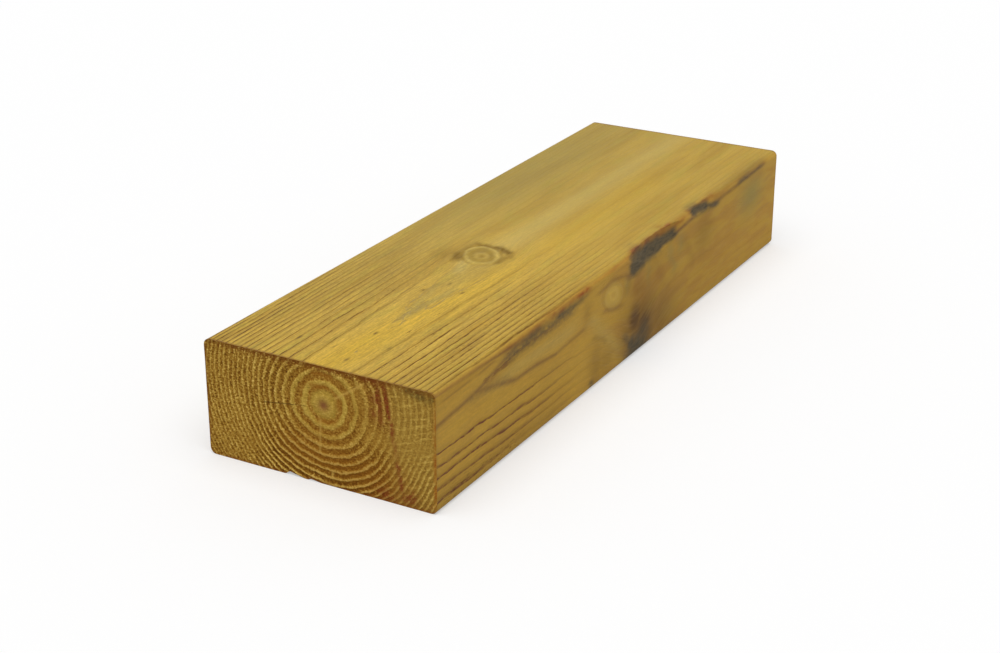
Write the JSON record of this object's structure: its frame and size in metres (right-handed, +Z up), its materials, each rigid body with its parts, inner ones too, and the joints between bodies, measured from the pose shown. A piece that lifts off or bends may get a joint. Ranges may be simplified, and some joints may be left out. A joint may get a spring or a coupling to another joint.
{
  "type": "wooden batten",
  "caption": "Short straight length of planed softwood batten with eased arrises and sawn ends, a framing, packing or fixing timber.",
  "frame": {"origin": "middle of the lower broad face, on the surface that the batten lies on", "axes": "+X along the length and the grain, +Y across the width, +Z up through the thickness"},
  "size_m": [0.3, 0.095, 0.045],
  "materials": {
    "timber": "planed softwood, yellow-green preservative tint, sawn end grain"
  },
  "bodies": {
    "root": {"batten": "timber"}
  },
  "joints": []
}
